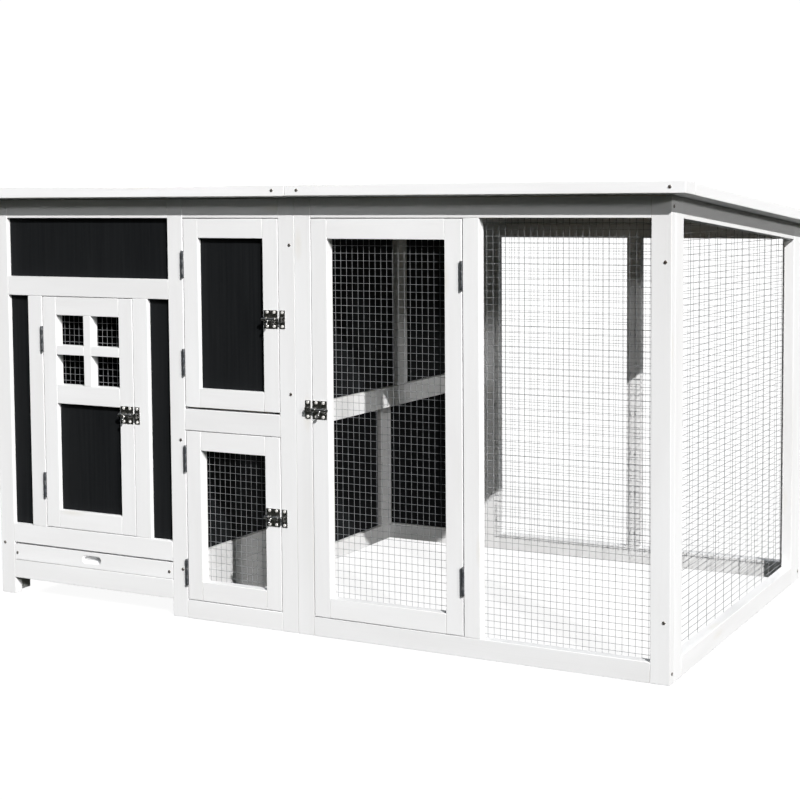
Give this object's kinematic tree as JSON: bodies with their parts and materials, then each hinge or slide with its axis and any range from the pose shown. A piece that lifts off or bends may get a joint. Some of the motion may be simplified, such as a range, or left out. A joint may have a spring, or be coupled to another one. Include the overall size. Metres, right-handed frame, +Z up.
{
  "type": "chicken coop",
  "caption": "Chicken coop: raised hen house with slide-out litter tray, nest bay over a pen and a wire-mesh run under one sloping roof; hinged doors with barrel bolts.",
  "frame": {"origin": "on the ground, under the middle of the roof's outline", "axes": "+X along the front from the hen house to the run, +Y from the front to the back, +Z up; the doors open towards -Y"},
  "size_m": [1.612, 0.9731, 0.8919],
  "materials": {
    "white_timber": "satin white paint on planed softwood",
    "black_board": "matte charcoal stain on thin plywood",
    "bare_wood": "matte unpainted softwood and plywood",
    "galvanised_wire": "galvanised welded wire",
    "nickel_hardware": "satin nickel plate",
    "screw_heads": "zinc plated screws",
    "tray_metal": "satin galvanised sheet",
    "roofing_felt": "matte mineral roofing felt"
  },
  "bodies": {
    "coop": {"house_front_frame": "white_timber", "house_left_frame": "white_timber", "house_back_frame": "white_timber", "house_wall_frame": "white_timber", "nest_wall_frame": "white_timber", "run_front_frame": "white_timber", "run_side_frame": "white_timber", "run_back_frame": "white_timber", "house_front_panels": "black_board", "house_left_panels": "black_board", "house_back_panels": "black_board", "house_wall_panels": "black_board", "nest_wall_panels": "black_board", "run_front_mesh": "galvanised_wire", "run_side_mesh": "galvanised_wire", "run_back_mesh": "galvanised_wire", "tray_runners": "bare_wood", "nest_floor": "bare_wood", "nest_bearers": "bare_wood", "perch": "bare_wood", "perch_cradles": "bare_wood", "house_roof_battens": "white_timber", "run_roof_battens": "white_timber", "roof_boards": "bare_wood", "roof_felt": "roofing_felt", "frame_screws": "screw_heads", "roof_screws": "screw_heads", "hinge_frame_leaves": "nickel_hardware", "hinge_pins": "nickel_hardware", "latch_keepers": "nickel_hardware", "keeper_screws": "screw_heads"},
    "tray": {"tray_front": "white_timber", "tray_pan": "tray_metal", "tray_screws": "screw_heads"},
    "house_door": {"house_door_frame": "white_timber", "house_door_panel": "black_board", "house_door_window_mesh": "galvanised_wire", "house_door_hinge_leaves": "nickel_hardware", "house_door_latch_plate": "nickel_hardware", "house_door_latch_screws": "screw_heads"},
    "nest_door": {"nest_door_frame": "white_timber", "nest_door_panel": "black_board", "nest_door_hinge_leaves": "nickel_hardware", "nest_door_latch_plate": "nickel_hardware", "nest_door_latch_screws": "screw_heads"},
    "pen_door": {"pen_door_frame": "white_timber", "pen_door_mesh": "galvanised_wire", "pen_door_hinge_leaves": "nickel_hardware", "pen_door_latch_plate": "nickel_hardware", "pen_door_latch_screws": "screw_heads"},
    "run_door": {"run_door_frame": "white_timber", "run_door_mesh": "galvanised_wire", "run_door_hinge_leaves": "nickel_hardware", "run_door_latch_plate": "nickel_hardware", "run_door_latch_screws": "screw_heads"},
    "house_door_bolt_slider": {"house_door_bolt": "nickel_hardware"},
    "nest_door_bolt_slider": {"nest_door_bolt": "nickel_hardware"},
    "pen_door_bolt_slider": {"pen_door_bolt": "nickel_hardware"},
    "run_door_bolt_slider": {"run_door_bolt": "nickel_hardware"}
  },
  "joints": [
    {"name": "house_door_hinge", "type": "hinge", "parent": "coop", "child": "house_door", "pos_m": [-0.6393, -0.4532, 0.4085], "axis": [0, 0, -1], "range_deg": [0, 160]},
    {"name": "nest_door_hinge", "type": "hinge", "parent": "coop", "child": "nest_door", "pos_m": [-0.2668, -0.4532, 0.6315], "axis": [0, 0, -1], "range_deg": [0, 160]},
    {"name": "pen_door_hinge", "type": "hinge", "parent": "coop", "child": "pen_door", "pos_m": [-0.2668, -0.4532, 0.215], "axis": [0, 0, -1], "range_deg": [0, 95]},
    {"name": "run_door_hinge", "type": "hinge", "parent": "coop", "child": "run_door", "pos_m": [0.3658, -0.4532, 0.4325], "axis": [0, 0, 1], "range_deg": [0, 160]},
    {"name": "tray_slide", "type": "slide", "parent": "coop", "child": "tray", "axis": [0, -1, 0], "range_m": [0, 0.6]},
    {"name": "house_door_bolt_slide", "type": "slide", "parent": "house_door", "child": "house_door_bolt_slider", "axis": [1, 0, 0], "range_m": [0, 0.0085]},
    {"name": "nest_door_bolt_slide", "type": "slide", "parent": "nest_door", "child": "nest_door_bolt_slider", "axis": [1, 0, 0], "range_m": [0, 0.0085]},
    {"name": "pen_door_bolt_slide", "type": "slide", "parent": "pen_door", "child": "pen_door_bolt_slider", "axis": [1, 0, 0], "range_m": [0, 0.0085]},
    {"name": "run_door_bolt_slide", "type": "slide", "parent": "run_door", "child": "run_door_bolt_slider", "axis": [-1, 0, 0], "range_m": [0, 0.0085]}
  ]
}
